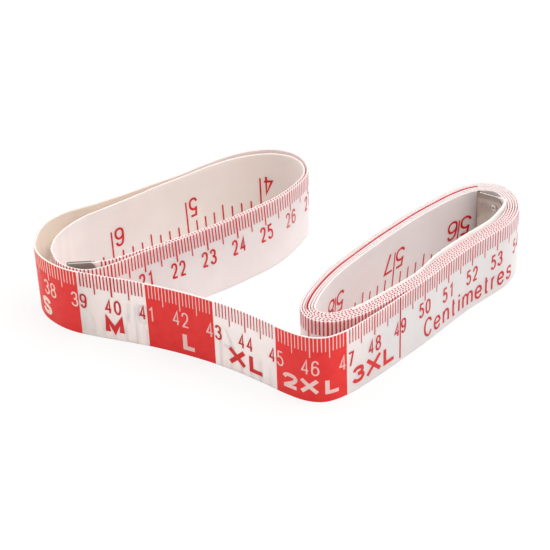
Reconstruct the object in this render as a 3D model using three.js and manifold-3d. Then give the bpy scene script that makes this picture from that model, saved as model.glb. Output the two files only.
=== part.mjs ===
// Cloth tape measure: one printed band lying on its edge in two loose coils, with a riveted metal tip at each end.
// Millimetres, +Z up. The band stands on its lower edge at z = 0, with the middle of its box over the origin, and
// the end that holds the end tip rides a little higher than the turns round it.
import * as THREE from 'three';
import { mergeVertices } from 'three/addons/utils/BufferGeometryUtils.js';
import Module from 'manifold-3d';

const wasm = await Module();
wasm.setup();

// Driving dimensions: the band
const tapeWidth = 20;
const tapeThickness = 0.3;
const layerGap = 0.43;
const layerPitch = tapeThickness + layerGap;

// Driving dimensions: the coil at the start of the scale
const startCoil = { x: -27, y: 17.5, halfLength: 46, halfBreadth: 18, angle: THREE.MathUtils.degToRad(37) };
const startCoilTurns = 1.81;

// Driving dimensions: the coil at the end of the scale
const endCoil = { x: 36, y: -9.5, halfLength: 42.2, halfBreadth: 11.3, angle: THREE.MathUtils.degToRad(46.5) };
const endCoilTurns = 6.09;
const endLift = 1.3;
const endLiftTurns = 0.16;

// Driving dimensions: the stretch between the coils, which sags towards the front
const bridgeSag = 36;

// Driving dimensions: the metal tips and their rivets
const tipLength = 8.2;
const sheetThickness = 0.25;
const crimpClearance = 0.2;
const tipEdgeInset = 0.2;
const tipCornerLength = 1.9;
const tipCornerHeight = 5;
const startTipGap = 0.2;
const startTipSeatShare = 0.89;
const startTipToe = THREE.MathUtils.degToRad(30);
const endTipGap = 0.85;
const endTipSeatShare = 0.362;
const endTipToe = THREE.MathUtils.degToRad(55.5);
const doubleBackReach = 1.9;
const rivetInset = 3.7;
const rivetFromFold = 5.5;
const rivetShankRadius = 0.6;
const rivetBoreRadius = 0.3;
const rivetFlangeRadius = 1;
const rivetFlangeThickness = 0.2;
const cutOverrun = 1;

// Counts of steps and facets
const stepsPerTurn = 52;
const stepsPerBridgePoint = 3;
const doubleBackSteps = 8;
const cornerFacets = 8;
const rivetFacets = 16;

// Outermost turn of each coil, from the place where the band leaves for the bridge: a share of the half length,
// a share of the half breadth, and the space to the next turn inwards as a share of the layer pitch.
const startOutlineShares = [
  [-0.886, 0.503, 8.0], [-0.81, 0.76, 7.8], [-0.69, 0.98, 7.0], [-0.54, 1.05, 5.8], [-0.37, 0.98, 4.8],
  [-0.18, 0.89, 3.5], [0.05, 0.82, 2.1], [0.235, 0.77, 1.3], [0.39, 0.77, 1.3], [0.58, 0.74, 1.9],
  [0.74, 0.63, 2.7], [0.87, 0.42, 3.1], [0.94, 0.08, 2.7], [0.92, -0.29, 1.6], [0.83, -0.61, 1.25],
  [0.69, -0.785, 1.15], [0.52, -0.885, 1.1], [0.3, -0.91, 1.1], [0.08, -0.905, 1.1], [-0.23, -0.835, 1.1],
  [-0.445, -0.79, 1.6], [-0.665, -0.81, 3.3], [-0.82, -0.68, 3.6], [-0.925, -0.34, 4.6],
  [-0.965, 0.02, 6.2], [-0.93, 0.33, 7.6],
];
const endOutlineShares = [
  [0.03, -0.96, 1.2], [0.27, -0.99, 1.15], [0.49, -1.04, 1.1], [0.63, -1.05, 1.02], [0.76, -0.93, 1.02],
  [0.86, -0.72, 1.02], [0.95, -0.36, 1.02], [0.99, 0.07, 1.02], [0.945, 0.52, 1.02], [0.83, 0.83, 1.02],
  [0.7, 0.97, 1.02], [0.52, 1.06, 1.02], [0.33, 1.12, 1.02], [-0.02, 1.13, 1.02], [-0.25, 1.09, 1.02],
  [-0.475, 1.03, 1.02], [-0.67, 0.9, 1.02], [-0.825, 0.72, 1.02], [-0.93, 0.48, 1.02], [-0.975, 0.12, 1.02],
  [-0.945, -0.31, 1.02], [-0.86, -0.6, 1.08], [-0.73, -0.78, 1.15], [-0.44, -0.89, 1.2], [-0.195, -0.93, 1.2],
];

// Bridge from coil to coil: a share of its span, and a share of its sag.
const bridgeShares = [
  [0.022, 0.124], [0.06, 0.23], [0.102, 0.3], [0.171, 0.355], [0.258, 0.408], [0.342, 0.474], [0.425, 0.56],
  [0.508, 0.67], [0.587, 0.805], [0.649, 0.922], [0.696, 0.984], [0.737, 0.986], [0.781, 0.9], [0.843, 0.68],
  [0.92, 0.34],
];

// Turns a place given in a coil's own frame into a place on the table.
function inCoil(coil, along, across) {
  return new THREE.Vector2(along, across)
    .rotateAround(new THREE.Vector2(), coil.angle)
    .add(new THREE.Vector2(coil.x, coil.y));
}

// The centre line of a coil as a function of its turn number, which grows inwards. It gives the place, the way
// inwards there, and the way on to the next turns. The outline's third share rides along as the spline's height,
// so that the spacing changes as smoothly as the place.
function spiral(coil, shares) {
  const outline = new THREE.CatmullRomCurve3(
    shares.map(([along, across, spacing]) => {
      const place = inCoil(coil, along * coil.halfLength, across * coil.halfBreadth);
      return new THREE.Vector3(place.x, place.y, spacing * layerPitch);
    }),
    true,
  );
  const middle = new THREE.Vector2(coil.x, coil.y);
  const reach = 1 / (stepsPerTurn * stepsPerTurn);
  return (turn) => {
    const here = outline.getPoint(THREE.MathUtils.euclideanModulo(turn, 1));
    const before = outline.getPoint(THREE.MathUtils.euclideanModulo(turn - reach, 1));
    const after = outline.getPoint(THREE.MathUtils.euclideanModulo(turn + reach, 1));
    const onward = new THREE.Vector2(after.x - before.x, after.y - before.y).normalize();
    const inward = new THREE.Vector2(-onward.y, onward.x);
    const place = new THREE.Vector2(here.x, here.y);
    if (middle.clone().sub(place).dot(inward) < 0) {
      inward.negate();
    }
    return { place: place.addScaledVector(inward, here.z * turn), inward, onward };
  };
}

const startTurns = spiral(startCoil, startOutlineShares);
const endTurns = spiral(endCoil, endOutlineShares);

// A tip's frame: its fold, held off the turn that it lies against, and the way from the fold to the band, which
// runs back along that turn and toes in towards the coil's middle. The third coordinate is the lift.
function tipFrame(seat, { gap, toe, lift }) {
  const halfFold = tapeThickness / 2 + crimpClearance + sheetThickness;
  const fold = seat.place.clone().addScaledVector(seat.inward, tapeThickness / 2 + gap + halfFold);
  const way = seat.onward.clone().multiplyScalar(-Math.cos(toe)).addScaledVector(seat.inward, Math.sin(toe));
  return { fold: new THREE.Vector3(fold.x, fold.y, lift), way: new THREE.Vector3(way.x, way.y, 0) };
}

// The straight stretch inside a tip, from the fold towards the band.
function tipStretch({ fold, way }) {
  return [sheetThickness + crimpClearance, tipLength / 2, tipLength].map((reach) => (
    fold.clone().addScaledVector(way, reach)
  ));
}

// The centre line of the end coil with its lift, which grows smoothly over the last stretch of its last turn.
function endTurn(turn) {
  const { place } = endTurns(turn);
  const lift = endLift * THREE.MathUtils.smoothstep(turn, endCoilTurns - endLiftTurns, endCoilTurns);
  return new THREE.Vector3(place.x, place.y, lift);
}

// The bend in which the band doubles back from the innermost turn to the end tip.
function doubleBack(tip) {
  const last = endTurn(endCoilTurns);
  const { onward } = endTurns(endCoilTurns);
  const mouth = tip.fold.clone().addScaledVector(tip.way, tipLength);
  const bend = new THREE.CubicBezierCurve3(
    last,
    last.clone().addScaledVector(new THREE.Vector3(onward.x, onward.y, 0), doubleBackReach),
    mouth.clone().addScaledVector(tip.way, doubleBackReach),
    mouth,
  );
  return bend.getSpacedPoints(doubleBackSteps).slice(1, -1);
}

// The whole centre line, from the start of the scale to its end.
function bandRoute(startTip, endTip) {
  const points = tipStretch(startTip);
  const startSteps = Math.round(startCoilTurns * stepsPerTurn);
  for (let step = startSteps; step >= 0; step -= 1) {
    const { place } = startTurns((step / startSteps) * startCoilTurns);
    points.push(new THREE.Vector3(place.x, place.y, 0));
  }
  const from = startTurns(0).place;
  const to = endTurns(0).place;
  const span = to.clone().sub(from);
  const sagWay = new THREE.Vector2(span.y, -span.x).normalize();
  for (const [spanShare, sagShare] of bridgeShares) {
    const place = from.clone().addScaledVector(span, spanShare).addScaledVector(sagWay, sagShare * bridgeSag);
    points.push(new THREE.Vector3(place.x, place.y, 0));
  }
  const endSteps = Math.round(endCoilTurns * stepsPerTurn);
  for (let step = 0; step <= endSteps; step += 1) {
    points.push(endTurn((step / endSteps) * endCoilTurns));
  }
  points.push(...doubleBack(endTip), ...tipStretch(endTip).reverse());
  return points;
}

// Adds points where the route's own points lie far apart, so that every bend is round.
function refine(points) {
  const curve = new THREE.CatmullRomCurve3(points);
  const coilStep = (2 * Math.PI * endCoil.halfBreadth) / stepsPerTurn;
  const fine = [];
  points.forEach((point, index) => {
    const next = points[index + 1];
    const parts = next && point.distanceTo(next) > coilStep * stepsPerBridgePoint ? stepsPerBridgePoint : 1;
    for (let part = 0; part < parts; part += 1) {
      fine.push(curve.getPoint(Math.min(1, (index + part / parts) / (points.length - 1))));
    }
  });
  return fine;
}

// A closed ribbon of the given thickness and height, standing on a line.
function ribbon(points, thickness, height) {
  const positions = [];
  points.forEach((point, index) => {
    const before = points[Math.max(index - 1, 0)];
    const after = points[Math.min(index + 1, points.length - 1)];
    const side = new THREE.Vector2(before.y - after.y, after.x - before.x).setLength(thickness / 2);
    for (const [sign, z] of [[1, 0], [-1, 0], [-1, height], [1, height]]) {
      positions.push(point.x + sign * side.x, point.y + sign * side.y, point.z + z);
    }
  });
  const indices = [];
  for (let ring = 0; ring < points.length - 1; ring += 1) {
    for (let corner = 0; corner < 4; corner += 1) {
      const next = (corner + 1) % 4;
      const a = ring * 4 + corner;
      const b = ring * 4 + next;
      indices.push(a, b + 4, b, a, a + 4, b + 4);
    }
  }
  const last = (points.length - 1) * 4;
  indices.push(0, 1, 2, 0, 2, 3, last, last + 2, last + 1, last, last + 3, last + 2);
  const geometry = new THREE.BufferGeometry();
  geometry.setAttribute('position', new THREE.Float32BufferAttribute(positions, 3));
  geometry.setIndex(indices);
  return geometry;
}

// The least distance in plan between the faces of two stretches that lie a turn or more apart.
function leastGap(points) {
  const apart = Math.round(stepsPerTurn / 2);
  const flat = points.map((point) => new THREE.Vector3(point.x, point.y, 0));
  const nearest = new THREE.Vector3();
  let least = Infinity;
  for (let i = 0; i < flat.length; i += 1) {
    for (let j = 0; j < flat.length - 1; j += 1) {
      if (j > i + apart || j + 1 < i - apart) {
        new THREE.Line3(flat[j], flat[j + 1]).closestPointToPoint(flat[i], true, nearest);
        least = Math.min(least, nearest.distanceTo(flat[i]) - tapeThickness);
      }
    }
  }
  return least;
}

// Conversions between three.js geometry and the solid library.
function toSolid(geometry) {
  const bare = geometry.clone();
  bare.deleteAttribute('normal');
  bare.deleteAttribute('uv');
  const merged = mergeVertices(bare);
  return new wasm.Manifold(new wasm.Mesh({
    numProp: 3,
    vertProperties: new Float32Array(merged.getAttribute('position').array),
    triVerts: new Uint32Array(merged.index.array),
  }));
}

function toGeometry(solid) {
  const mesh = solid.getMesh();
  const geometry = new THREE.BufferGeometry();
  geometry.setAttribute('position', new THREE.BufferAttribute(new Float32Array(mesh.vertProperties), mesh.numProp));
  geometry.setIndex(new THREE.BufferAttribute(new Uint32Array(mesh.triVerts), 1));
  return geometry;
}

// Places of a tip's two rivets, measured from its fold and from the band's lower edge.
const rivetPlaces = [
  { name: 'lower', x: rivetFromFold, z: rivetInset },
  { name: 'upper', x: rivetFromFold, z: tapeWidth - rivetInset },
];

// A hole through both sheets and the band, along the tip's own Y.
function rivetHole(place) {
  const depth = 2 * (sheetThickness + crimpClearance + cutOverrun) + tapeThickness;
  const radius = rivetShankRadius + crimpClearance;
  return new THREE.CylinderGeometry(radius, radius, depth, rivetFacets).translate(place.x, 0, place.z);
}

// A sheet folded round the band's end, with long clipped corners on the side where the band comes out.
function tipGeometry() {
  const inner = tapeThickness / 2 + crimpClearance;
  const outer = inner + sheetThickness;
  const fold = new THREE.Shape();
  fold.moveTo(tipLength, -outer);
  fold.lineTo(outer, -outer);
  fold.absarc(outer, 0, outer, -Math.PI / 2, Math.PI / 2, true);
  fold.lineTo(tipLength, outer);
  fold.lineTo(tipLength, inner);
  fold.lineTo(outer, inner);
  fold.absarc(outer, 0, inner, Math.PI / 2, -Math.PI / 2, false);
  fold.lineTo(tipLength, -inner);
  fold.closePath();
  const folded = new THREE.ExtrudeGeometry(fold, { depth: tapeWidth, bevelEnabled: false, curveSegments: cornerFacets });

  const bottom = tipEdgeInset;
  const top = tapeWidth - tipEdgeInset;
  const cornerX = tipLength - tipCornerLength;
  const plate = new THREE.Shape();
  plate.moveTo(-outer, bottom);
  plate.lineTo(cornerX, bottom);
  plate.absellipse(cornerX, bottom + tipCornerHeight, tipCornerLength, tipCornerHeight, -Math.PI / 2, 0, false);
  plate.absellipse(cornerX, top - tipCornerHeight, tipCornerLength, tipCornerHeight, 0, Math.PI / 2, false);
  plate.lineTo(-outer, top);
  plate.closePath();
  const outline = new THREE.ExtrudeGeometry(plate, {
    depth: 2 * (outer + cutOverrun), bevelEnabled: false, curveSegments: cornerFacets,
  });
  outline.rotateX(Math.PI / 2).translate(0, outer + cutOverrun, 0);

  let solid = toSolid(folded).intersect(toSolid(outline));
  for (const place of rivetPlaces) {
    solid = solid.subtract(toSolid(rivetHole(place)));
  }
  return toGeometry(solid);
}

// A tubular rivet with a thin flange on each side of the tip.
function rivetGeometry(place) {
  const under = tapeThickness / 2 + 2 * crimpClearance + sheetThickness;
  const over = under + rivetFlangeThickness;
  const profile = [
    [rivetBoreRadius, -over], [rivetFlangeRadius, -over], [rivetFlangeRadius, -under], [rivetShankRadius, -under],
    [rivetShankRadius, under], [rivetFlangeRadius, under], [rivetFlangeRadius, over], [rivetBoreRadius, over],
    [rivetBoreRadius, -over],
  ];
  const points = profile.map(([radius, height]) => new THREE.Vector2(radius, height));
  return new THREE.LatheGeometry(points, rivetFacets).translate(place.x, 0, place.z);
}

// Puts a tip's own frame in its place on the table.
function seated(object, { fold, way }) {
  object.position.copy(fold);
  object.rotation.z = Math.atan2(way.y, way.x);
  object.updateMatrix();
  return object;
}

const clothWhite = new THREE.MeshStandardMaterial({ color: 0xe6dfdb, roughness: 0.55, metalness: 0 });
const tinnedSteel = new THREE.MeshStandardMaterial({ color: 0x9a8c82, roughness: 0.45, metalness: 0.85 });
const rivetSteel = new THREE.MeshStandardMaterial({ color: 0xa79b92, roughness: 0.35, metalness: 0.9 });

const group = new THREE.Group();

const startTip = tipFrame(startTurns(startTipSeatShare), { gap: startTipGap, toe: startTipToe, lift: 0 });
const endTip = tipFrame(
  endTurns(Math.floor(endCoilTurns) - 1 + endTipSeatShare),
  { gap: endTipGap, toe: endTipToe, lift: endLift },
);
const route = refine(bandRoute(startTip, endTip));
let bandSolid = toSolid(ribbon(route, tapeThickness, tapeWidth));
for (const [name, tip] of [['start_tip', startTip], ['end_tip', endTip]]) {
  const frame = seated(new THREE.Group(), tip);
  const sheet = new THREE.Mesh(tipGeometry(), tinnedSteel.clone());
  sheet.name = name;
  frame.add(sheet);
  for (const spot of rivetPlaces) {
    const rivet = new THREE.Mesh(rivetGeometry(spot), rivetSteel.clone());
    rivet.name = `${name}_rivet_${spot.name}`;
    frame.add(rivet);
    bandSolid = bandSolid.subtract(toSolid(rivetHole(spot).applyMatrix4(frame.matrix)));
  }
  group.add(frame);
}

const band = new THREE.Mesh(toGeometry(bandSolid), clothWhite);
band.name = 'tape_band';
group.add(band);

// The band is the widest piece, so the middle of its box is the middle of the whole.
band.geometry.computeBoundingBox();
const middle = band.geometry.boundingBox.getCenter(new THREE.Vector3());
group.position.set(-middle.x, -middle.y, 0);

const bandLength = route.slice(1).reduce((sum, point, index) => sum + point.distanceTo(route[index]), 0);
console.log(`band length ${bandLength.toFixed(1)} mm, least gap to itself ${leastGap(route).toFixed(3)} mm`);

export default group;
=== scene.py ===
import math

import bpy
import numpy as np
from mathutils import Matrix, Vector
from mathutils.geometry import delaunay_2d_cdt


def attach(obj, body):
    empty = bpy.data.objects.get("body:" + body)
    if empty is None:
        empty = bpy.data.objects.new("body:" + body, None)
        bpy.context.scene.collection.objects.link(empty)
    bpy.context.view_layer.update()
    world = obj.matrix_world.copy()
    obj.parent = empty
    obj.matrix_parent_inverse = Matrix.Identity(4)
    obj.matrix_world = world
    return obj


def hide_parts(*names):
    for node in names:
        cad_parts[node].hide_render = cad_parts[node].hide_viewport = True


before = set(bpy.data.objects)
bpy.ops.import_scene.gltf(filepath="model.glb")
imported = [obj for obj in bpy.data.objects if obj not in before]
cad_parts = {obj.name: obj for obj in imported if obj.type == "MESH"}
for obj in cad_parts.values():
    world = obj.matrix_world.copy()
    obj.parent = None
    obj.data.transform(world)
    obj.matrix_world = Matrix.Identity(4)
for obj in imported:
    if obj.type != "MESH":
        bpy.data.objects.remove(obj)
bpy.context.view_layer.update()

MM = 0.001
CM = 0.01
INCH = 0.0254

# Band: cloth and coating together, the slope along its edges, the step from ring to ring, and the lift of its ink
WIDTH = 20 * MM
THICKNESS = 0.49 * MM
EDGE = 0.12 * MM
RING = 0.5 * MM
INK = 0.012 * MM
SCALE_END = 150 * CM
INCHES = 60

# Coils in mm, with their places, sizes and turns as in the solids, the points that draw them, and the bridge
MIDDLE = np.array((0.8988, -0.0407)) * MM
START_COIL = {"x": -27, "y": 17.5, "half_length": 46, "half_breadth": 18, "angle": math.radians(37)}
END_COIL = {"x": 36, "y": -9.5, "half_length": 42.2, "half_breadth": 11.3, "angle": math.radians(46.5)}
START_TURNS = 1.81
END_TURNS = 6.09
START_POINTS, END_POINTS, FINE_STEPS = 95, 310, 12
BRIDGE_SAG = 36 * MM
DOUBLE_BACK = 1.9 * MM

# Tips: the middle of the sheet lies TIP_HALF from that of the band, and its corners are rounded along and across.
# Its unevenness has a slanting wave (up, along) and one along, in radians for each metre.
TIP_LENGTH = 8.2 * MM
SHEET = 0.25 * MM
TIP_HALF = 0.475 * MM
TIP_BEND = 0.6 * MM
TIP_INSET = 0.2 * MM
TIP_UNEVEN = 0.025 * MM
SLANTING_WAVE = (520, 900)
ALONG_WAVE = 700
CORNER = (1.9 * MM, 5 * MM)
LEG_POINTS, FOLD_POINTS, TIP_ROWS = 22, 11, 24

# Rivets: from the fold, and from the edges of the band. The punch cuts their holes.
RIVET_REACH = 5.5 * MM
RIVET_INSET = 3.7 * MM
PUNCH_RADIUS = 0.62 * MM
PUNCH_HALF = 1.5 * MM

# The place of each tip's fold, the way from it to the band, and the lift over the table
TIPS = {
    "start_tip": {"fold": (-56.223 * MM, -8.9812 * MM), "angle": math.radians(1.498), "lift": 0.0},
    "end_tip": {"fold": (55.1356 * MM, 17.074 * MM), "angle": math.radians(-33.524), "lift": 1.3 * MM},
}

# Outermost turn of each coil: shares of the half length and half breadth, and the space to the next turn in mm.
# They are the solids' outlines, drawn a little closer to how the cloth lies.
START_OUTLINE = [
    (-0.88, 0.491, 4.8), (-0.803, 0.74, 5.77), (-0.686, 0.953, 6.42), (-0.54, 1.001, 5.57), (-0.374, 0.919, 3.8),
    (-0.182, 0.85, 2.8), (0.049, 0.795, 1.86), (0.235, 0.752, 1.47), (0.39, 0.753, 1.55), (0.579, 0.732, 2.05),
    (0.74, 0.63, 2.45), (0.87, 0.42, 2.5), (0.94, 0.08, 2), (0.92, -0.29, 1.2), (0.83, -0.61, 0.9),
    (0.69, -0.785, 0.85), (0.52, -0.885, 0.8), (0.3, -0.91, 0.8), (0.08, -0.905, 0.8), (-0.23, -0.835, 0.8),
    (-0.445, -0.79, 1.17), (-0.665, -0.81, 2.4), (-0.82, -0.68, 2.6), (-0.925, -0.34, 3.65), (-0.965, 0.02, 5.3),
    (-0.93, 0.33, 5.2),
]
END_OUTLINE = [
    (0.03, -0.965, 0.68), (0.27, -0.965, 0.63), (0.49, -1.03, 0.63), (0.63, -1.05, 0.64), (0.76, -0.93, 0.66),
    (0.86, -0.72, 0.68), (0.94, -0.36, 0.69), (0.979, 0.07, 0.70), (0.936, 0.52, 0.71), (0.83, 0.83, 0.71),
    (0.7, 0.97, 0.68), (0.52, 1.06, 0.66), (0.33, 1.12, 0.65), (-0.02, 1.14, 0.65), (-0.25, 1.11, 0.65),
    (-0.475, 1.05, 0.66), (-0.67, 0.91, 0.67), (-0.825, 0.72, 0.69), (-0.93, 0.48, 0.70), (-0.975, 0.12, 0.72),
    (-0.945, -0.31, 0.72), (-0.86, -0.6, 0.73), (-0.73, -0.8, 0.71), (-0.44, -0.93, 0.67), (-0.195, -1.0, 0.67),
]
# The bridge between the coils: shares of the span from coil to coil, and of its sag
BRIDGE = [
    (0.022, 0.124), (0.06, 0.23), (0.102, 0.3), (0.171, 0.355), (0.258, 0.408), (0.342, 0.474), (0.425, 0.56),
    (0.508, 0.67), (0.587, 0.805), (0.649, 0.922), (0.696, 0.984), (0.737, 0.986), (0.781, 0.9), (0.843, 0.68),
    (0.92, 0.359), (0.959, 0.193),
]

# How far the cloth has run past each reading of its scale, how far the lower edge leans out, and how high the
# lower edge rides over the table: readings and lengths along the band in cm, the rest in mm.
SLACK_CM = (
    0, 10.2, 12.7, 15.3, 20.5, 21.5, 22.5, 23.5, 25.5, 28, 37, 38.5, 39.5, 41.5, 43.5, 45.5, 48.5, 50.5,
    51.5, 52.5, 142.2, 144.8, 147.4, 149.2, 152.4, 158,
)
SLACK_MM = (
    0, -1.95, -2.6, -2.95, -2.0, -2.3, -2.95, -3.2, -3.65, -3.6, 0.4, 0.65, 0.4, -0.1, -0.25, -0.55, -1.3, -1.4,
    -0.75, -0.6, 15.3, 16.2, 17.6, 16.5, 10.5, 10.5,
)
LEAN_CM = (0, 7, 9, 13, 16, 20, 22, 24.2, 26.6, 29, 160)
LEAN_MM = (0, 0, -1.2, -1.2, 0, 0, 2.1, 2.0, -0.2, 0, 0)
LIFT_CM = (0, 153.8, 155, 156.2, 157.6, 162)
LIFT_MM = (0, 0, 1.0, 1.2, 1.3, 1.3)

# How far the tips press in the band's edges, by the distance from its end in mm
PINCH = 0.35 * MM
PINCH_AT = (0, 7.4, 8.8)
PINCH_SHARE = (1, 1, 0)


def unit(vectors):
    """The vectors, each at length 1."""
    return vectors / np.linalg.norm(vectors, axis=-1, keepdims=True)


def spline(points, closed=False):
    """The centripetal spline through the points, as a function of the point's number."""
    points = np.asarray(points, float)
    count = len(points)
    if closed:
        row = np.vstack([points[-1], points, points[:2]])
    else:
        row = np.vstack([2 * points[0] - points[1], points, 2 * points[-1] - points[-2]])

    def at(number):
        number = np.asarray(number, float)
        first = np.floor(number).astype(int)
        first = first % count if closed else np.clip(first, 0, count - 2)
        part = (number % 1 if closed else number - first)[..., None]
        a, b, c, d = (row[first + step] for step in range(4))
        ab, bc, cd = (
            np.maximum(np.linalg.norm(end - start, axis=-1, keepdims=True), 1e-9) ** 0.5
            for start, end in ((a, b), (b, c), (c, d))
        )
        leaving = ((b - a) / ab - (c - a) / (ab + bc) + (c - b) / bc) * bc
        coming = ((c - b) / bc - (d - b) / (bc + cd) + (d - c) / cd) * bc
        return (
            b + leaving * part
            + (-3 * b + 3 * c - 2 * leaving - coming) * part ** 2
            + (2 * b - 2 * c + leaving + coming) * part ** 3
        )

    return at


def smooth_steps(at, knots, values):
    """Values between knots, with level ends and no kinks."""
    at = np.clip(at, knots[0], knots[-1])
    low = np.clip(np.searchsorted(knots, at, side="right") - 1, 0, len(knots) - 2)
    knots, values = np.array(knots, float), np.array(values, float)
    part = (at - knots[low]) / (knots[low + 1] - knots[low])
    return values[low] + (values[low + 1] - values[low]) * part * part * (3 - 2 * part)


def coil(shape, outline):
    """The centre line of a coil as a function of its turn number, which grows inwards."""
    rows = np.array(outline)
    cos, sin = math.cos(shape["angle"]), math.sin(shape["angle"])
    along, across = rows[:, 0] * shape["half_length"], rows[:, 1] * shape["half_breadth"]
    middle = np.array((shape["x"], shape["y"]))
    places = middle + np.c_[along * cos - across * sin, along * sin + across * cos]
    curve = spline(np.c_[places, rows[:, 2]] * MM, closed=True)

    def at(turn):
        number = np.asarray(turn, float) * len(rows)
        here = curve(number)
        way = unit((curve(number + 0.01) - curve(number - 0.01))[..., :2])
        inward = np.stack([-way[..., 1], way[..., 0]], -1)
        side = np.sign(((middle * MM - here[..., :2]) * inward).sum(-1))
        return here[..., :2] + inward * (side * here[..., 2] * np.asarray(turn))[..., None]

    return at


def inside_tip(tip):
    """Three points of the centre line inside a tip, from the fold on, and the way they follow."""
    way = np.array((math.cos(tip["angle"]), math.sin(tip["angle"])))
    reaches = np.array((0.45 * MM, TIP_LENGTH / 2, TIP_LENGTH))
    return np.array(tip["fold"]) + MIDDLE + np.outer(reaches, way), way


def band_route():
    """The centre line of the band in plan: close points, and the length up to each of them."""
    start_turns = coil(START_COIL, START_OUTLINE)(np.linspace(START_TURNS, 0, START_POINTS))
    end_turns = coil(END_COIL, END_OUTLINE)(np.linspace(0, END_TURNS, END_POINTS))
    span = end_turns[0] - start_turns[-1]
    sag = unit(np.array((span[1], -span[0]))) * BRIDGE_SAG
    bridge = start_turns[-1] + np.array(BRIDGE) @ np.array((span, sag))
    start_tip, _ = inside_tip(TIPS["start_tip"])
    end_tip, way = inside_tip(TIPS["end_tip"])
    onward = unit(end_turns[-1] - end_turns[-2])
    corners = (end_turns[-1], end_turns[-1] + onward * DOUBLE_BACK, end_tip[-1] + way * DOUBLE_BACK, end_tip[-1])
    part = np.linspace(0, 1, 9)[1:-1]
    weights = np.c_[(1 - part) ** 3, 3 * (1 - part) ** 2 * part, 3 * (1 - part) * part ** 2, part ** 3]
    points = np.vstack([start_tip, start_turns, bridge, end_turns, weights @ np.array(corners), end_tip[::-1]])
    points = points - MIDDLE
    last = len(points) - 1
    fine = spline(points)(np.linspace(0, last, last * FINE_STEPS + 1))
    return fine, np.r_[0, np.cumsum(np.linalg.norm(np.diff(fine, axis=0), axis=1))]


class Band:
    """The band's rings, one for every half millimetre of its scale, and the places between them."""

    def __init__(self):
        fine, length = band_route()
        self.length = length[-1]
        readings = np.arange(0, self.length + 2 * CM, RING)
        run = readings + np.interp(readings / CM, SLACK_CM, SLACK_MM) * MM
        self.rings = readings[run < self.length - 0.2 * MM]
        run = run[: len(self.rings)]

        def place(at):
            return np.c_[np.interp(at, length, fine[:, 0]), np.interp(at, length, fine[:, 1])]

        way = unit(place(np.minimum(run + 0.4 * MM, self.length)) - place(np.maximum(run - 0.4 * MM, 0)))
        self.centre = place(run)
        self.outward = np.c_[way[:, 1], -way[:, 0]]
        self.lean = smooth_steps(run / CM, LEAN_CM, LEAN_MM) * MM
        self.lift = smooth_steps(run / CM, LIFT_CM, LIFT_MM) * MM
        to_tip = np.minimum(run, self.length - run) / MM
        self.pinch = smooth_steps(to_tip, PINCH_AT, PINCH_SHARE) * PINCH

    def ring_points(self, numbers, out, height):
        """Points at whole rings: out from the centre line towards the centimetre side, and over the lower edge."""
        reach = out + self.lean[numbers] * (1 - height / WIDTH)
        plan = self.centre[numbers] + self.outward[numbers] * reach[:, None]
        return np.c_[plan, height + self.lift[numbers] + self.pinch[numbers] * (1 - 2 * height / WIDTH)]

    def points(self, readings, out, height):
        """Points at any readings, which lie on the straight between the two rings round them."""
        number = np.clip(readings / RING, 0, len(self.rings) - 1.001)
        first = np.floor(number + 1e-6).astype(int)
        part = np.clip(number - first, 0, 1)[:, None]
        return self.ring_points(first, out, height) * (1 - part) + self.ring_points(first + 1, out, height) * part

    def face_points(self, places, side):
        """Points of a print on one face (side 1 has centimetres, -1 inches), given as (reading, height)."""
        reading, height = places[:, 0], places[:, 1]
        rounding = np.maximum(0, height - (WIDTH - EDGE)) + np.maximum(0, EDGE - height)
        out = side * (THICKNESS / 2 + INK - rounding)
        over = INK * np.sign(height - WIDTH / 2) * (rounding > 0)
        return self.points(reading, out, np.clip(height, 0, WIDTH) + over)


band = Band()


class Shade:
    """A socket of a material that takes part in sums: each operator adds its Math node."""

    def __init__(self, tree, socket=None):
        self.tree = tree
        self.socket = socket

    def node(self, kind, settings=None, sockets=None, output=0):
        """Adds any node, from its type, its settings, and the values or links of its sockets."""
        made = self.tree.nodes.new(kind)
        for name, value in (settings or {}).items():
            setattr(made, name, value)
        for name, value in (sockets or {}).items():
            if isinstance(value, Shade):
                self.tree.links.new(value.socket, made.inputs[name])
            else:
                made.inputs[name].default_value = value
        return Shade(self.tree, made.outputs[output] if made.outputs else None)

    def math(self, operation, *values):
        """Adds a Math node."""
        return self.node("ShaderNodeMath", {"operation": operation}, dict(enumerate(values)))

    def __add__(self, other):
        return self.math("ADD", self, other)

    def __rsub__(self, other):
        return self.math("SUBTRACT", other, self)

    def __mul__(self, other):
        return self.math("MULTIPLY", self, other)

    __radd__ = __add__

    def sine(self):
        """Adds a sine."""
        return self.math("SINE", self)

    def between(self, low, high):
        """0 below low and 1 above high."""
        return self.node("ShaderNodeMapRange", {"interpolation_type": "SMOOTHSTEP"}, {0: self, 1: low, 2: high})

    def mixed(self, first, second):
        """The first colour where this is 0, and the second where it is 1."""
        return self.node("ShaderNodeMix", {"data_type": "RGBA"}, {0: self, 6: first, 7: second}, output=2)


def colour(red, green, blue):
    """A colour of a screen, 11 to 255, as Blender's linear colour."""
    return tuple(((value / 255 + 0.055) / 1.055) ** 2.4 for value in (red, green, blue)) + (1,)


def finish_named(name, build, **constants):
    """A material from a function that gives what varies over the surface, and from constants."""
    made = bpy.data.materials.new(name)
    made.use_nodes = True
    shader = made.node_tree.nodes["Principled BSDF"]
    for socket, value in constants.items():
        shader.inputs[socket.replace("_", " ").title().replace("Ior", "IOR")].default_value = value
    for socket, value in build(Shade(made.node_tree)).items():
        made.node_tree.links.new(value.socket, shader.inputs[socket])
    return made


# Threads of the cloth, from one to the next, the depth of what is rough, and the breadth of its worn edges
WARP = 0.55 * MM
WEFT = 0.5 * MM
RELIEF = 0.03 * MM
WORN_EDGE = 0.9 * MM

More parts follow.
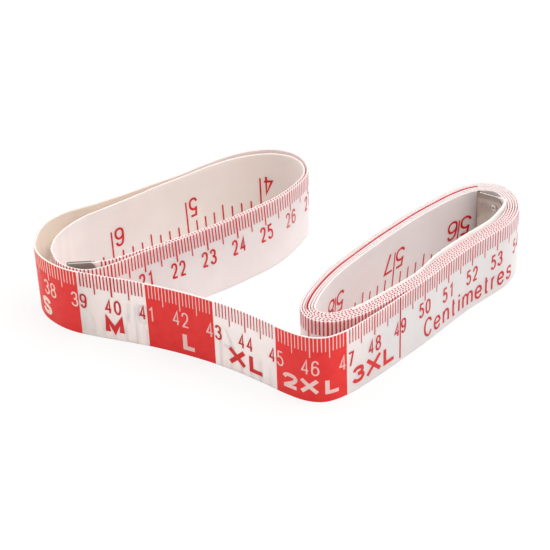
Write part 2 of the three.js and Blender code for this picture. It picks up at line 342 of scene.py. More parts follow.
# Painted warm glow, for light that shines through the thin cloth and bounces off the red print: readings in cm where
# it starts, is full, fades and ends, and how much
PAINTED_GLOW = [(7, 10, 12, 17, 0.5), (30, 34, 36, 41, 1)]


def axis_of(shade, place, number):
    """One of the three numbers of a place or a way."""
    return shade.node("ShaderNodeSeparateXYZ", {}, {0: place}, output=number)


def noise(shade, place, scale, detail=2, dimensions="2D"):
    """Cloudy noise round 0.5, flat on the band unless it is 3D."""
    settings = {"noise_dimensions": dimensions}
    return shade.node("ShaderNodeTexNoise", settings, {"Vector": place, "Scale": scale, "Detail": detail})


def relief(shade, height, strength):
    """The normal of a surface that rises and falls by a few hundredths of a millimetre."""
    return shade.node("ShaderNodeBump", {}, {"Strength": strength, "Distance": RELIEF, "Height": height})


def on_cloth(shade):
    """The place, reading and height on the band, the weave that shows through its coating, and a fine grain."""
    place = shade.node("ShaderNodeUVMap", {"uv_map": "along_band"})
    along, height = axis_of(shade, place, 0), axis_of(shade, place, 1)
    weave = (along * (2 * math.pi / WARP)).sine() * (height * (2 * math.pi / WEFT)).sine()
    return place, along, height, weave, noise(shade, place, 2600)


def coated_cloth(light, shaded):
    """Coated white cloth: cloudy, greyer along its edges, and tinted peach by a painted warm glow along some
    stretches.
    """
    def build(shade):
        place, along, height, weave, grain = on_cloth(shade)
        clouds = noise(shade, place, 60, detail=3)
        # Painted warm glow: the cloth turns peach along stretches of the scale, standing in for light through it and
        # off the red print
        painted_glow = sum(
            along.between(start * CM, full * CM) * (1 - along.between(fading * CM, end * CM)) * share
            for start, full, fading, end, share in PAINTED_GLOW
        )
        tint = clouds.between(0.35, 0.7).mixed(light, shaded)
        with_painted_glow = (painted_glow * 0.9).mixed(tint, colour(255, 234, 212))
        # Greyer along the cloth's edges: wear
        wear_and_edge_shade = 1 - height.between(0, WORN_EDGE) * (1 - height.between(WIDTH - WORN_EDGE, WIDTH))
        return {
            "Base Color": (wear_and_edge_shade * 0.25 + grain.between(0.35, 0.75) * 0.1).mixed(with_painted_glow, colour(232, 214, 208)),
            "Roughness": 0.5 + weave * 0.05 + clouds * 0.1,
            "Normal": relief(shade, weave * 0.5 + grain, 0.35),
        }

    return build


def printed_red(low, high):
    """Red ink that covers the weave unevenly."""
    def build(shade):
        place, _, _, weave, grain = on_cloth(shade)
        cover = noise(shade, place, 420, detail=4)
        return {
            "Base Color": (cover.between(0.2, 0.9) * 0.8 + weave * 0.12).mixed(low, high),
            "Roughness": 0.42 + cover * 0.12,
            "Normal": relief(shade, weave * 0.5 + grain, 0.3),
        }

    return build


def rolled_metal(base, dull, edge, smooth):
    """Thin plated sheet: rolled one way, spotted and greyed by handling, and given the edge colour along its top and
    bottom cut edges as painted shade of the fold.
    """
    def build(shade):
        place = shade.node("ShaderNodeTexCoord", output=3)
        brushed = shade.node("ShaderNodeMapping", {}, {0: place, 3: (1, 1, 0.04)})
        lines = noise(shade, brushed, 9000, detail=3, dimensions="3D")
        clouds = noise(shade, place, 260, detail=4, dimensions="3D")
        specks = noise(shade, place, 2400, dimensions="3D")
        height = axis_of(shade, place, 2)
        # Painted shade of the fold: the sheet takes the edge colour near its top and bottom cut edges
        wear_and_edge_shade = 1 - height.between(0.2 * MM, 0.7 * MM) * (1 - height.between(WIDTH - 0.7 * MM, WIDTH - 0.2 * MM))
        greyed = clouds.between(0.35, 0.75)
        tint = (wear_and_edge_shade * 0.6).mixed((greyed * 0.8 + lines * 0.2).mixed(base, dull), edge)
        spotted = (specks.between(0.66, 0.74) * 0.6).mixed(tint, colour(84, 74, 66))
        return {
            "Base Color": spotted,
            "Roughness": smooth + greyed * 0.14 + lines * 0.1,
            "Normal": relief(shade, lines + clouds * 2, 0.2),
        }

    return build


see_through = {"subsurface_weight": 0.78, "subsurface_radius": (1.0, 0.9, 0.84), "subsurface_scale": 1.9 * MM}
coated_white = finish_named(
    "coated white cloth", coated_cloth(colour(254, 239, 235), colour(250, 232, 228)),
    sheen_weight=0.12, sheen_roughness=0.5, **see_through,
)
block_red, letter_red, ink_red = (
    finish_named(name, printed_red(colour(*low), colour(*high)), specular_ior_level=0.35)
    for name, low, high in (
        ("printed red block", (238, 45, 40), (231, 30, 29)),
        ("red size letter", (222, 34, 34), (210, 24, 25)),
        ("red ink line", (206, 22, 28), (192, 14, 22)),
    )
)
ink_white = finish_named("bare cloth in the print", coated_cloth(colour(248, 216, 210), colour(242, 200, 194)))
# The tinned sheet's third colour is the darker painted shade along its cut edges
tinned = finish_named(
    "tinned sheet", rolled_metal(colour(188, 175, 166), colour(164, 150, 141), colour(146, 134, 126), 0.3),
    metallic=1.0,
)
rivet_metal = finish_named(
    "rivet metal", rolled_metal(colour(214, 206, 198), colour(120, 110, 102), colour(206, 198, 190), 0.16),
    metallic=1.0,
)


def mesh_piece(name, points, faces, materials):
    """A smooth piece that stands in the world, with its materials and the slot they belong to."""
    mesh = bpy.data.meshes.new(name)
    mesh.from_pydata([tuple(p) for p in points], [], faces)
    for finish in materials:
        mesh.materials.append(finish)
    mesh.validate()
    mesh.polygons.foreach_set("use_smooth", [True] * len(mesh.polygons))
    piece = bpy.data.objects.new(name, mesh)
    bpy.context.scene.collection.objects.link(piece)
    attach(piece, "root")
    return piece


def map_along(mesh, places):
    """Keeps each vertex's reading and height as a map, so that the weave follows the band."""
    layer = mesh.uv_layers.new(name="along_band")
    corners = np.array([loop.vertex_index for loop in mesh.loops])
    layer.data.foreach_set("uv", np.asarray(places, np.float32)[corners].ravel())


# Red blocks of the centimetre side, and the red stretch of the inch side
RED_BLOCKS = [(37 * CM, 39 * CM), (41 * CM, 43 * CM), (45 * CM, 47 * CM)]
RED_INCHES = (36.1 * INCH, 39.1 * INCH)


def in_red(reading):
    """Whether the centimetre side is red at a reading."""
    return any(first < reading < last for first, last in RED_BLOCKS)


def make_band():
    """The cloth as one closed strip, with its red blocks and the red edge on the inch side."""
    rings = len(band.rings)
    numbers = np.arange(rings)
    half = THICKNESS / 2
    section = [
        (half, EDGE), (half, WIDTH - EDGE), (half - EDGE, WIDTH), (0, WIDTH), (EDGE - half, WIDTH),
        (-half, WIDTH - EDGE), (-half, EDGE), (EDGE - half, 0), (half - EDGE, 0),
    ]
    white, block, ink = 0, 1, 2
    centimetre_side, inch_sides = (0,), (3, 4, 5)
    points = np.stack([band.ring_points(numbers, out, height) for out, height in section], 1).reshape(-1, 3)
    places = np.stack([np.c_[band.rings, np.full(rings, height)] for _, height in section], 1).reshape(-1, 2)
    sides = len(section)
    faces, finishes = [], []
    for ring in range(rings - 1):
        middle = band.rings[ring] + RING / 2
        blocked = centimetre_side if in_red(middle) else ()
        inked = inch_sides if RED_INCHES[0] < middle < RED_INCHES[1] else ()
        for side in range(sides):
            a, b = ring * sides + side, ring * sides + (side + 1) % sides
            faces.append((a, a + sides, b + sides, b))
            finishes.append(block if side in blocked else ink if side in inked else white)
    last = (rings - 1) * sides
    faces += [tuple(range(sides)), tuple(range(last + sides - 1, last - 1, -1))]
    finishes += [white, white]
    piece = mesh_piece("band_cloth", points, faces, [coated_white, block_red, ink_red])
    piece.data.polygons.foreach_set("material_index", finishes)
    map_along(piece.data, places)
    piece.data.set_sharp_from_angle(angle=math.radians(25))
    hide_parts("tape_band")
    return piece


class Print:
    """A thin layer of ink on one face of the band, gathered from flat shapes given as (reading, height)."""

    def __init__(self, side):
        self.side = side
        self.places = []
        self.faces = []

    def add(self, places, faces):
        """Takes in a flat shape."""
        start = len(self.places)
        self.places += [tuple(p) for p in places]
        self.faces += [tuple(start + corner for corner in face) for face in faces]

    def bar(self, reading, breadth, low, high):
        """An upright line, split where it crosses rings and where the band's edge is rounded."""
        cuts = {reading - breadth / 2, reading + breadth / 2}
        first = math.ceil((reading - breadth / 2) / RING - 1e-6)
        cuts |= {number * RING for number in range(first, int((reading + breadth / 2) / RING + 1e-6) + 1)}
        levels = {low, high} | {level for level in (EDGE, WIDTH - EDGE) if low < level < high}
        columns, rows = sorted(cuts), sorted(levels)
        columns = [c for i, c in enumerate(columns) if i == 0 or c - columns[i - 1] > 1e-6]
        corners = [i * len(rows) + j for i in range(len(columns) - 1) for j in range(len(rows) - 1)]
        faces = [(a, a + len(rows), a + len(rows) + 1, a + 1) for a in corners]
        self.add([(c, r) for c in columns for r in rows], faces)

    def strokes(self, quads):
        """Pen strokes as flat quads: joined to one shape, and cut where they cross rings.

        All edges are laid over each other, and a triangle between them is ink where its middle lies in a quad.
        """
        halves = np.array(quads)[:, ((0, 1, 2), (0, 2, 3))].reshape(-1, 3, 2) / MM
        verts = [tuple(corner) for corner in halves.reshape(-1, 2)]
        edges = [(first + i, first + (i + 1) % 3) for first in range(0, len(verts), 3) for i in range(3)]
        low, high = np.min(verts, axis=0), np.max(verts, axis=0)
        step = RING / MM
        for number in range(math.floor(low[0] / step), math.ceil(high[0] / step) + 1):
            edges.append((len(verts), len(verts) + 1))
            verts += [(number * step, low[1] - 0.2), (number * step, high[1] + 0.2)]
        made, _, triangles, *_ = delaunay_2d_cdt(verts, edges, [], 0, 1e-5)
        made = np.array([tuple(place) for place in made])
        middles = made[np.array(triangles)].mean(axis=1)
        ways = np.roll(halves, -1, axis=1) - halves
        reach = middles[:, None, None] - halves
        turn = ways[..., 0] * reach[..., 1] - ways[..., 1] * reach[..., 0]
        inked = ((turn > 0).all(axis=2) | (turn < 0).all(axis=2)).any(axis=1)
        self.add(made * MM, [triangle for triangle, kept in zip(triangles, inked) if kept])

    def piece(self, name, finish):
        """All that was taken in, as one piece on its face of the band."""
        places = np.array(self.places)
        points = band.face_points(places, self.side)
        used = sorted({corner for face in self.faces for corner in face})
        renumbered = {corner: index for index, corner in enumerate(used)}
        faces = [tuple(renumbered[corner] for corner in face) for face in self.faces]
        if self.side < 0:
            faces = [face[::-1] for face in faces]
        made = mesh_piece(name, points[used], faces, [finish])
        map_along(made.data, places[used])
        return made


# Pen strokes of each sign in a box of 1 by 1: open curves ("~"), closed curves ("o") and straight runs ("-")
SIGNS = {
    "0": [("o", (0.5, 1), (0.12, 0.85), (0, 0.5), (0.12, 0.15), (0.5, 0), (0.88, 0.15), (1, 0.5), (0.88, 0.85))],
    "1": [("-", (0.62, 0), (0.62, 1), (0.22, 0.78))],
    "2": [
        ("~", (0.04, 0.74), (0.18, 0.94), (0.5, 1), (0.84, 0.92), (0.94, 0.72), (0.8, 0.48), (0.38, 0.2), (0.05, 0)),
        ("-", (0, 0), (1, 0)),
    ],
    "3": [
        ("~", (0.05, 0.8), (0.2, 0.95), (0.5, 1), (0.84, 0.92), (0.9, 0.74), (0.78, 0.58), (0.42, 0.53)),
        ("~", (0.42, 0.53), (0.84, 0.46), (0.98, 0.27), (0.84, 0.07), (0.5, 0), (0.16, 0.06), (0, 0.22)),
    ],
    "4": [("-", (0.74, 0), (0.74, 1), (0.02, 0.28), (1, 0.28))],
    "5": [
        ("-", (0.92, 1), (0.2, 1), (0.12, 0.52)),
        ("~", (0.1, 0.54), (0.3, 0.63), (0.55, 0.63), (0.86, 0.52), (0.97, 0.31), (0.84, 0.08), (0.48, 0),
         (0.15, 0.06), (0.02, 0.2)),
    ],
    "6": [
        ("o", (0.5, 0.6), (0.14, 0.5), (0.02, 0.3), (0.14, 0.08), (0.5, 0), (0.86, 0.08), (0.98, 0.3), (0.86, 0.5)),
        ("~", (0.02, 0.32), (0.05, 0.6), (0.2, 0.9), (0.52, 1), (0.8, 0.94), (0.93, 0.8)),
    ],
    "7": [("-", (0.02, 1), (0.98, 1), (0.36, 0))],
    "8": [
        ("o", (0.5, 1), (0.18, 0.93), (0.08, 0.77), (0.2, 0.6), (0.5, 0.54), (0.8, 0.6), (0.92, 0.77), (0.82, 0.93)),
        ("o", (0.5, 0.54), (0.14, 0.46), (0, 0.27), (0.14, 0.07), (0.5, 0), (0.86, 0.07), (1, 0.27), (0.86, 0.46)),
    ],
    "9": [
        ("o", (0.5, 0.4), (0.86, 0.5), (0.98, 0.7), (0.86, 0.92), (0.5, 1), (0.14, 0.92), (0.02, 0.7), (0.14, 0.5)),
        ("~", (0.98, 0.68), (0.95, 0.4), (0.8, 0.1), (0.48, 0), (0.2, 0.06), (0.07, 0.2)),
    ],
    "S": [
        ("~", (0.95, 0.78), (0.8, 0.95), (0.5, 1), (0.18, 0.94), (0.07, 0.76), (0.22, 0.58), (0.55, 0.49),
         (0.86, 0.4), (0.97, 0.23), (0.82, 0.05), (0.48, 0), (0.16, 0.06), (0.03, 0.24)),
    ],
    "M": [("-", (0, 0), (0, 1), (0.5, 0.12), (1, 1), (1, 0))],
    "L": [("-", (0.08, 1), (0.08, 0), (0.95, 0))],
    "X": [("-", (0.02, 0), (0.98, 1)), ("-", (0.02, 1), (0.98, 0))],
    "C": [
        ("~", (0.96, 0.76), (0.8, 0.94), (0.5, 1), (0.16, 0.86), (0, 0.5), (0.16, 0.14), (0.5, 0), (0.8, 0.06),
         (0.96, 0.24)),
    ],
    "e": [
        ("-", (0.02, 0.36), (0.98, 0.36)),
        ("~", (0.98, 0.37), (0.86, 0.6), (0.5, 0.7), (0.14, 0.6), (0, 0.35), (0.14, 0.1), (0.5, 0), (0.8, 0.04),
         (0.96, 0.17)),
    ],
    "n": [
        ("-", (0.06, 0), (0.06, 0.7)),
        ("~", (0.06, 0.42), (0.24, 0.63), (0.55, 0.7), (0.84, 0.62), (0.94, 0.4)),
        ("-", (0.94, 0.42), (0.94, 0)),
    ],
    "m": [
        ("-", (0, 0), (0, 0.7)), ("~", (0, 0.45), (0.1, 0.64), (0.26, 0.7), (0.43, 0.63), (0.5, 0.42)),
        ("-", (0.5, 0.45), (0.5, 0)), ("~", (0.5, 0.45), (0.6, 0.64), (0.76, 0.7), (0.93, 0.63), (1, 0.42)),
        ("-", (1, 0.45), (1, 0)),
    ],
    "i": [("-", (0.5, 0), (0.5, 0.7)), ("-", (0.5, 0.87), (0.5, 1))],
    "r": [("-", (0.2, 0), (0.2, 0.7)), ("~", (0.2, 0.42), (0.4, 0.62), (0.9, 0.7))],
    "s": [
        ("~", (0.92, 0.55), (0.76, 0.66), (0.5, 0.7), (0.2, 0.65), (0.1, 0.53), (0.24, 0.41), (0.52, 0.35),
         (0.84, 0.28), (0.95, 0.16), (0.78, 0.04), (0.48, 0), (0.18, 0.05), (0.03, 0.18)),
    ],
    "t": [("~", (0.4, 0.95), (0.4, 0.5), (0.42, 0.14), (0.62, 0), (0.92, 0.05)), ("-", (0.05, 0.68), (0.9, 0.68))],
}

# Signs that are narrower or wider than the rest
OWN_BREADTH = {"i": 0.45, "t": 0.62, "r": 0.66, "m": 1.5, "C": 1.15}

# Centimetre side. Lines: from the first millimetre past the tip on, with lengths in shares of the width, and
# narrower in the red blocks. A long line ends the size letters.
FIRST_LINE = 9
LINE_LONG, LINE_SHORT = 0.31, 0.216
LINE_BOLD, LINE_FINE = 0.55 * MM, 0.45 * MM
LINE_IN_RED = 0.55
SIZES_END = {"reading": 49 * CM, "breadth": 0.5 * MM, "low": 1 * MM, "high": WIDTH}

# Numbers, narrower from 100 on, and the plain word: low and high edges in shares of the width, and pens
NUMBER_LOW, NUMBER_HIGH = 0.415, 0.65
NUMBER_BREADTH, HUNDREDS_BREADTH, NUMBER_SPACE = 2.15 * MM, 1.8 * MM, 0.5 * MM
NUMBER_PEN, NUMBER_PEN_IN_RED = 0.6 * MM, 0.44 * MM
UNIT = {"text": "Centimetres", "centre": 51.85 * CM, "breadth": 3.05 * MM, "space": 0.7 * MM}
UNIT_LOW, UNIT_HIGH, UNIT_PEN = 0.08, 0.385, 0.72 * MM

# How far the centimetre numbers have wandered up the cloth
NUMBER_RISE_CM = (18, 21, 27, 30, 37, 38, 39, 40, 41, 42, 43, 49, 50, 51)
NUMBER_RISE_MM = (0, 0.7, 0.7, 0, 0, 0.5, 0.4, 0, 0, 0.7, 0, 0, 0.7, 0)

# How much of their breadth the red centimetre lines have kept
WORN_CM = (20, 24, 26, 30, 38, 40, 43, 52, 54, 58)
WORN_SHARE = (0.84, 0.84, 0.64, 0.7, 0.94, 0.94, 0.74, 0.74, 0.55, 0.92)

# Size letters: middle along the scale, breadth and pen in mm, low and high edge in shares of the width
SIZE_LETTERS = [
    ("S", 377.6, 4.4, 1.3, 0.09, 0.37), ("M", 400, 5.6, 1.55, 0.09, 0.37), ("L", 422.2, 4.5, 1.3, 0.09, 0.37),
    ("X", 437, 6.1, 1.3, 0.1, 0.385), ("L", 443.3, 5.5, 1.3, 0.1, 0.385),
    ("2", 454.2, 5, 1.12, 0.125, 0.36), ("X", 459.7, 5.5, 1.12, 0.12, 0.365), ("L", 465.8, 4.7, 1.12, 0.125, 0.365),
    ("3", 473.9, 4.6, 1.12, 0.11, 0.37), ("X", 479.6, 6.2, 1.12, 0.09, 0.385), ("L", 485.6, 5.2, 1.12, 0.105, 0.385),
]

# Inch side: lines for inches, halves and eighths, from the first eighth past the tip on, and low edge and height
# of the numbers, all in shares of the width
FIRST_EIGHTH = 3
INCH_LINE, HALF_LINE, EIGHTH_LINE = 0.615, 0.335, 0.265
INCH_LOW, INCH_HEIGHT = 0.34, 0.305
INCH_PEN, INCH_NUMBER_PEN = 0.5 * MM, 0.7 * MM

# Inch numbers: how far one stands before its line, and its breadth, with one sign and with two
ONE_SIGN, TWO_SIGNS = (2.5 * MM, 3.2 * MM), (0, 3.8 * MM)
INCH_SPACE = 0.8 * MM

# How far the inch print has wandered up the cloth, and how it leans near the end of the band
INCH_RISE_CM = (10, 12.7, 15.5, 18, 140, 142.5, 145, 150)
INCH_RISE_MM = (0, -0.7, -0.6, 0, 0, -0.5, 1.2, 1.5)
LEANING_FROM = 1.4
LEANING = 0.12
LEANING_OVER = 0.3 * WIDTH

# Pens stop widening at corners sharper than this, and draw curves in straight steps
MITRE_LIMIT = 0.45
ROUND_STEPS = 32
CURVE_STEPS = 4


def pen(run, thickness):
    """The quads of one stroke: corners are mitred, and ends are cut square."""
    run = np.asarray(run, float)
    ways = unit(np.diff(run, axis=0))
    before, after = np.vstack([ways[0], ways]), np.vstack([ways, ways[-1]])
    across = unit(np.c_[-(before + after)[:, 1], (before + after)[:, 0]])
    stretch = 1 / np.maximum(MITRE_LIMIT, (across * np.c_[-before[:, 1], before[:, 0]]).sum(1))
    side = across * (stretch * thickness / 2)[:, None]
    left, right = run + side, run - side
    return [(left[i], right[i], right[i + 1], left[i + 1]) for i in range(len(run) - 1)]


def sign_quads(sign, centre, low, high, breadth, thickness, turned=False):
    """One sign as quads on the band. Turned signs stand on their head, as they do on the inch side."""
    quads = []
    inset = thickness / 2
    for kind, *points in SIGNS[sign]:
        points = np.array(points, float)
        run = np.c_[
            (points[:, 0] - 0.5) * (breadth - thickness) + centre,
            low + inset + points[:, 1] * (high - low - thickness),
        ]
        if kind == "o":
            run = spline(run, closed=True)(np.linspace(0, len(run), ROUND_STEPS + 1))
        elif kind == "~":
            run = spline(run)(np.linspace(0, len(run) - 1, (len(run) - 1) * CURVE_STEPS + 1))
        if turned:
            run[:, 1] = low + high - run[:, 1]
        quads += pen(run, thickness)
    return quads


def line_of_signs(text, centre, breadth, space):
    """The signs of a word with their middles and breadths, set round its centre."""
    breadths = [breadth * OWN_BREADTH.get(sign, 1) for sign in text]
    reading = centre - (sum(breadths) + space * (len(text) - 1)) / 2
    placed = []
    for sign, own in zip(text, breadths):
        placed.append((sign, reading + own / 2, own))
        reading += own + space
    return placed


def make_centimetres():
    """Lines, numbers, size letters and a plain word on the outer side, red on white and white on red."""
    red, white, bold = Print(1), Print(1), Print(1)

    def ink(reading):
        return white if in_red(reading) else red

    for millimetre in range(FIRST_LINE, round(SCALE_END / MM) + 1):
        reading = millimetre * MM
        if any(abs(reading - end) < MM / 2 for block in RED_BLOCKS for end in block):
            continue
        length = LINE_LONG if millimetre % 5 == 0 else LINE_SHORT
        breadth = LINE_BOLD if millimetre % 10 == 0 else LINE_FINE
        breadth *= LINE_IN_RED if in_red(reading) else np.interp(millimetre / 10, WORN_CM, WORN_SHARE)
        ink(reading).bar(reading, breadth, WIDTH * (1 - length), WIDTH)
    red.bar(**SIZES_END)
    for centimetre in range(1, round(SCALE_END / CM) + 1):
        breadth = NUMBER_BREADTH if centimetre < 100 else HUNDREDS_BREADTH
        rise = np.interp(centimetre, NUMBER_RISE_CM, NUMBER_RISE_MM) * MM
        low, high = NUMBER_LOW * WIDTH + rise, NUMBER_HIGH * WIDTH + rise
        for sign, middle, own in line_of_signs(str(centimetre), centimetre * CM, breadth, NUMBER_SPACE):
            thick = NUMBER_PEN_IN_RED if in_red(middle) else NUMBER_PEN
            ink(middle).strokes(sign_quads(sign, middle, low, high, own, thick))
    for sign, middle, breadth, thick, low, high in SIZE_LETTERS:
        quads = sign_quads(sign, middle * MM, low * WIDTH, high * WIDTH, breadth * MM, thick * MM)
        (white if in_red(middle * MM) else bold).strokes(quads)
    for sign, middle, own in line_of_signs(**UNIT):
        red.strokes(sign_quads(sign, middle, UNIT_LOW * WIDTH, UNIT_HIGH * WIDTH, own, UNIT_PEN))
    return [
        red.piece("centimetre_ink", ink_red), white.piece("centimetre_gaps", ink_white),
        bold.piece("size_letters", letter_red),
    ]


def inch_rise(reading):
    """How far the inch print has wandered up or down the cloth at a reading."""
    return np.interp(reading / CM, INCH_RISE_CM, INCH_RISE_MM) * MM


def leaned(quads, reading):
    """Quads of the inch print, which leans towards lower readings near the end of the band."""
    quads = np.array(quads)
    if reading > LEANING_FROM:
        quads[..., 0] -= LEANING * (quads[..., 1] - LEANING_OVER)
    return quads


def make_inches():
    """Lines and numbers on the inner side, which start at the lower edge and stand on their head."""
    red, white = Print(-1), Print(-1)

    def ink(reading):
        return white if RED_INCHES[0] < reading < RED_INCHES[1] else red

    for eighth in range(FIRST_EIGHTH, INCHES * 8 + 1):
        reading = eighth * INCH / 8
        length = INCH_LINE if eighth % 8 == 0 else HALF_LINE if eighth % 4 == 0 else EIGHTH_LINE
        top = WIDTH * length + inch_rise(reading)
        if reading > LEANING_FROM:
            left, right = reading - INCH_PEN / 2, reading + INCH_PEN / 2
            line = [(left, EDGE), (right, EDGE), (right, top), (left, top)]
            ink(reading).strokes(leaned([line], reading))
        else:
            ink(reading).bar(reading, INCH_PEN, 0, top)
    for inch in range(1, INCHES + 1):
        before, breadth = ONE_SIGN if inch < 10 else TWO_SIGNS
        for sign, middle, own in line_of_signs(str(inch), inch * INCH - before, breadth, INCH_SPACE):
            low = INCH_LOW * WIDTH + inch_rise(middle)
            quads = sign_quads(sign, middle, low, low + INCH_HEIGHT * WIDTH, own, INCH_NUMBER_PEN, turned=True)
            ink(middle).strokes(leaned(quads, middle))
    return [red.piece("inch_ink", ink_red), white.piece("inch_gaps", ink_white)]


def on_tip(tip, points):
    """Points of a tip's own frame (from its fold, across, up) in their place."""
    cos, sin = math.cos(tip["angle"]), math.sin(tip["angle"])
    points = np.asarray(points, float)
    x = tip["fold"][0] + points[:, 0] * cos - points[:, 1] * sin
    y = tip["fold"][1] + points[:, 0] * sin + points[:, 1] * cos
    return np.c_[x, y, points[:, 2] + tip["lift"]]


def with_modifiers(piece, *modifiers):
    """Adds modifiers to a piece and keeps what they make of its mesh."""
    for kind, settings in modifiers:
        made = piece.modifiers.new(kind.lower(), kind)
        for name, value in settings.items():
            setattr(made, name, value)
    graph = bpy.context.evaluated_depsgraph_get()
    mesh = bpy.data.meshes.new_from_object(piece.evaluated_get(graph), depsgraph=graph)
    piece.modifiers.clear()
    piece.data = mesh


def make_tip(name):
    """The sheet folded round an end of the band, with rounded cut edges and the unevenness of thin metal."""
    flat = TIP_LENGTH - (1 - np.cos(np.linspace(0, math.pi / 2, LEG_POINTS))) * (TIP_LENGTH - TIP_BEND)
    turn = np.linspace(0, math.pi, FOLD_POINTS)[1:-1]
    line = [(x, -TIP_HALF) for x in flat]
    line += [(TIP_BEND - TIP_HALF * math.sin(t), -TIP_HALF * math.cos(t)) for t in turn]
    line += [(x, TIP_HALF) for x in flat[::-1]]
    line = np.array(line)
    share = np.clip((line[:, 0] - (TIP_LENGTH - CORNER[0])) / CORNER[0], 0, 1)
    inset = TIP_INSET + CORNER[1] * (1 - np.sqrt(1 - share ** 2))
    rows = np.linspace(0, 1, TIP_ROWS)
    points = []
    for (x, y), cut in zip(line, inset):
        height = cut + rows * (WIDTH - 2 * cut)
        slanting = np.sin(height * SLANTING_WAVE[0] + x * SLANTING_WAVE[1])
        uneven = TIP_UNEVEN * slanting * np.sin(x * ALONG_WAVE)
        uneven *= np.sign(y) * min(1, abs(y) / TIP_HALF)
        points += [(x, y + push, z) for push, z in zip(uneven, height)]
    corners = [i * TIP_ROWS + j for i in range(len(line) - 1) for j in range(TIP_ROWS - 1)]
    faces = [(corner, corner + TIP_ROWS, corner + TIP_ROWS + 1, corner + 1) for corner in corners]
    piece = mesh_piece(name + "_sheet", on_tip(TIPS[name], points), faces, [tinned])
    bevel = {"width": 0.06 * MM, "segments": 2, "limit_method": "ANGLE", "angle_limit": math.radians(50)}
    with_modifiers(piece, ("SOLIDIFY", {"thickness": SHEET, "offset": 0.0}), ("BEVEL", bevel))
    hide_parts(name)
    return piece


# Half of a rivet's section: distance from its axis and height over the middle of the band, in mm
RIVET_SECTION = [
    (0.3, 0), (0.3, 0.8), (0.33, 0.9), (0.41, 0.97), (0.54, 1), (0.7, 0.985), (0.86, 0.92), (0.97, 0.81),
    (1, 0.72), (0.98, 0.65), (0.92, 0.62), (0.82, 0.64), (0.6, 0.66), (0.6, 0),
]


def round_steps(turns):
    """Cosine and sine of even steps round a circle."""
    return [(math.cos(2 * math.pi * i / turns), math.sin(2 * math.pi * i / turns)) for i in range(turns)]


def make_rivet(name, tip, height):
    """A tubular rivet whose ends are rolled down on the sheet."""
    ring = RIVET_SECTION + [(radius, -level) for radius, level in RIVET_SECTION[-2:0:-1]]
    count, turns = len(ring), 40
    points = [
        (RIVET_REACH + radius * MM * cos, level * MM, height + radius * MM * sin)
        for cos, sin in round_steps(turns) for radius, level in ring
    ]
    rows = [(i * count, (i + 1) % turns * count) for i in range(turns)]
    faces = [
        (row + j, row + (j + 1) % count, following + (j + 1) % count, following + j)
        for row, following in rows for j in range(count)
    ]
    piece = mesh_piece(name + "_rolled", on_tip(tip, points), faces, [rivet_metal])
    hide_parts(name)


def make_punch(tip, height):
    """The round hole that a rivet needs, as a solid to cut away."""
    turns = 24
    ends = [
        (RIVET_REACH + PUNCH_RADIUS * cos, end, height + PUNCH_RADIUS * sin)
        for end in (-PUNCH_HALF, PUNCH_HALF) for cos, sin in round_steps(turns)
    ]
    faces = [(i, (i + 1) % turns, turns + (i + 1) % turns, turns + i) for i in range(turns)]
    faces += [tuple(range(turns - 1, -1, -1)), tuple(range(turns, 2 * turns))]
    return on_tip(tip, ends), faces


def cut_holes(pieces):
    """Punches the holes of all rivets through the pieces."""
    points, faces = [], []
    for tip in TIPS.values():
        for height in (RIVET_INSET, WIDTH - RIVET_INSET):
            places, sides = make_punch(tip, height)
            faces += [tuple(len(points) + corner for corner in side) for side in sides]
            points += [tuple(place) for place in places]
    mesh = bpy.data.meshes.new("punch")
    mesh.from_pydata(points, [], faces)
    punch = bpy.data.objects.new("punch", mesh)
    bpy.context.scene.collection.objects.link(punch)
    for piece in pieces:
        with_modifiers(piece, ("BOOLEAN", {"operation": "DIFFERENCE", "solver": "EXACT", "object": punch}))
    bpy.data.objects.remove(punch)
    bpy.data.meshes.remove(mesh)


cloth = make_band()
sheets = [make_tip(name) for name in TIPS]
cut_holes([cloth] + sheets)
for name, tip in TIPS.items():
    make_rivet(name + "_rivet_lower", tip, RIVET_INSET)
    make_rivet(name + "_rivet_upper", tip, WIDTH - RIVET_INSET)
prints = make_centimetres() + make_inches()


# Light: the sky is dimmer low down and in front, as behind a photographer's table
SKY_LOW = 0.585
SKY_HIGH = 1.28
FRONT_DARK = 0.95
FRONT_WAY = (0.35, 0.94)
LAMP_SIZE = 0.7
LAMPS = [
    ("wide lamp on the right", (0.45, 0.04, 0.7), 2.9),
    ("wide lamp on the left", (-0.5, 0.15, 0.6), 1.0),
]

# Floor: how much of it is plain white to the eye, and the rest shows the shadow
FLOOR_COLOUR = colour(238, 236, 235)
FLOOR_HALF = 3
FLOOR_DROP = 0.02 * MM
FLOOR_WHITE = 0.8

# Camera: where it stands, how far it looks down and how it is turned about its view
CAMERA_PLACE = (-1.450 * MM, -379.339 * MM, 263.34 * MM)
CAMERA_DOWN = 34.014
CAMERA_ROLL = -2.284
SENSOR_MM = 36
LENS_MM = 110.19


def sees_background(shade):
    """1 for what the camera sees directly, in metal or through something clear, and 0 for light."""
    rays = ("Is Camera Ray", "Is Glossy Ray", "Is Transmission Ray")
    camera, mirror, through = (shade.node("ShaderNodeLightPath", output=ray) for ray in rays)
    return camera.math("MAXIMUM", camera.math("MAXIMUM", camera, mirror), through)


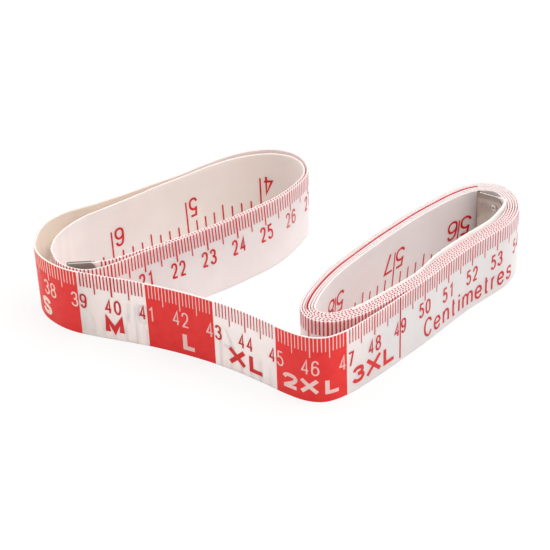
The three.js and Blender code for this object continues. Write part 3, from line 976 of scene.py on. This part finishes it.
def make_floor():
    """A pale floor that keeps a soft shadow."""
    floor = bpy.data.objects.new("floor", bpy.data.meshes.new("floor"))
    corners = [(x * FLOOR_HALF, y * FLOOR_HALF, 0) for x, y in ((-1, -1), (1, -1), (1, 1), (-1, 1))]
    floor.data.from_pydata(corners, [], [(0, 1, 2, 3)])
    floor.location.z = -FLOOR_DROP
    bpy.context.scene.collection.objects.link(floor)
    pale = bpy.data.materials.new("pale floor")
    pale.use_nodes = True
    pale.node_tree.nodes.clear()
    shade = Shade(pale.node_tree)
    seen = sees_background(shade)
    shadow = shade.node("ShaderNodeBsdfDiffuse", {}, {"Color": FLOOR_COLOUR})
    glow = shade.node("ShaderNodeEmission", {}, {"Color": colour(255, 255, 255), "Strength": 1.0})
    mixed = shade.node("ShaderNodeMixShader", {}, {0: seen * FLOOR_WHITE, 1: shadow, 2: glow})
    shade.node("ShaderNodeOutputMaterial", {}, {"Surface": mixed})
    floor.data.materials.append(pale)


def make_sky():
    """A soft sky as light, and plain white as background."""
    world = bpy.data.worlds.new("soft sky")
    bpy.context.scene.world = world
    world.use_nodes = True
    world.node_tree.nodes.clear()
    shade = Shade(world.node_tree)
    seen = sees_background(shade)
    toward = shade.node("ShaderNodeTexCoord", output=0)
    across, back, up = (axis_of(shade, toward, number) for number in range(3))
    front = 1 - (across * FRONT_WAY[0] + back * FRONT_WAY[1]).between(-0.95, -0.1)
    above = up.between(0, 0.8)
    soft = (SKY_LOW + above * (SKY_HIGH - SKY_LOW)) * (1 - front * FRONT_DARK * (1 - above * 0.5))
    sky = shade.node("ShaderNodeBackground", {}, {"Color": (1, 1, 1, 1), "Strength": seen + (1 - seen) * soft})
    shade.node("ShaderNodeOutputWorld", {}, {"Surface": sky})


def make_lamps():
    """Two wide lamps that look at the middle of the part."""
    for name, place, power in LAMPS:
        lamp = bpy.data.lights.new(name, "AREA")
        lamp.shape = "DISK"
        lamp.size = LAMP_SIZE
        lamp.energy = power
        holder = bpy.data.objects.new(name, lamp)
        holder.location = place
        holder.rotation_euler = (-Vector(place)).to_track_quat("-Z", "Y").to_euler()
        bpy.context.scene.collection.objects.link(holder)


def make_camera():
    """The camera at the photograph's viewing angle."""
    lens = bpy.data.cameras.new("camera")
    lens.sensor_width = SENSOR_MM
    lens.lens = LENS_MM
    lens.clip_start = 0.01
    lens.clip_end = 20
    camera = bpy.data.objects.new("camera", lens)
    camera.location = CAMERA_PLACE
    camera.rotation_euler = (math.radians(90 - CAMERA_DOWN), 0, 0)
    camera.rotation_euler.rotate_axis("Z", math.radians(CAMERA_ROLL))
    bpy.context.scene.collection.objects.link(camera)
    bpy.context.scene.camera = camera


make_floor()
make_sky()
make_lamps()
make_camera()
bpy.context.scene.view_settings.view_transform = "Standard"
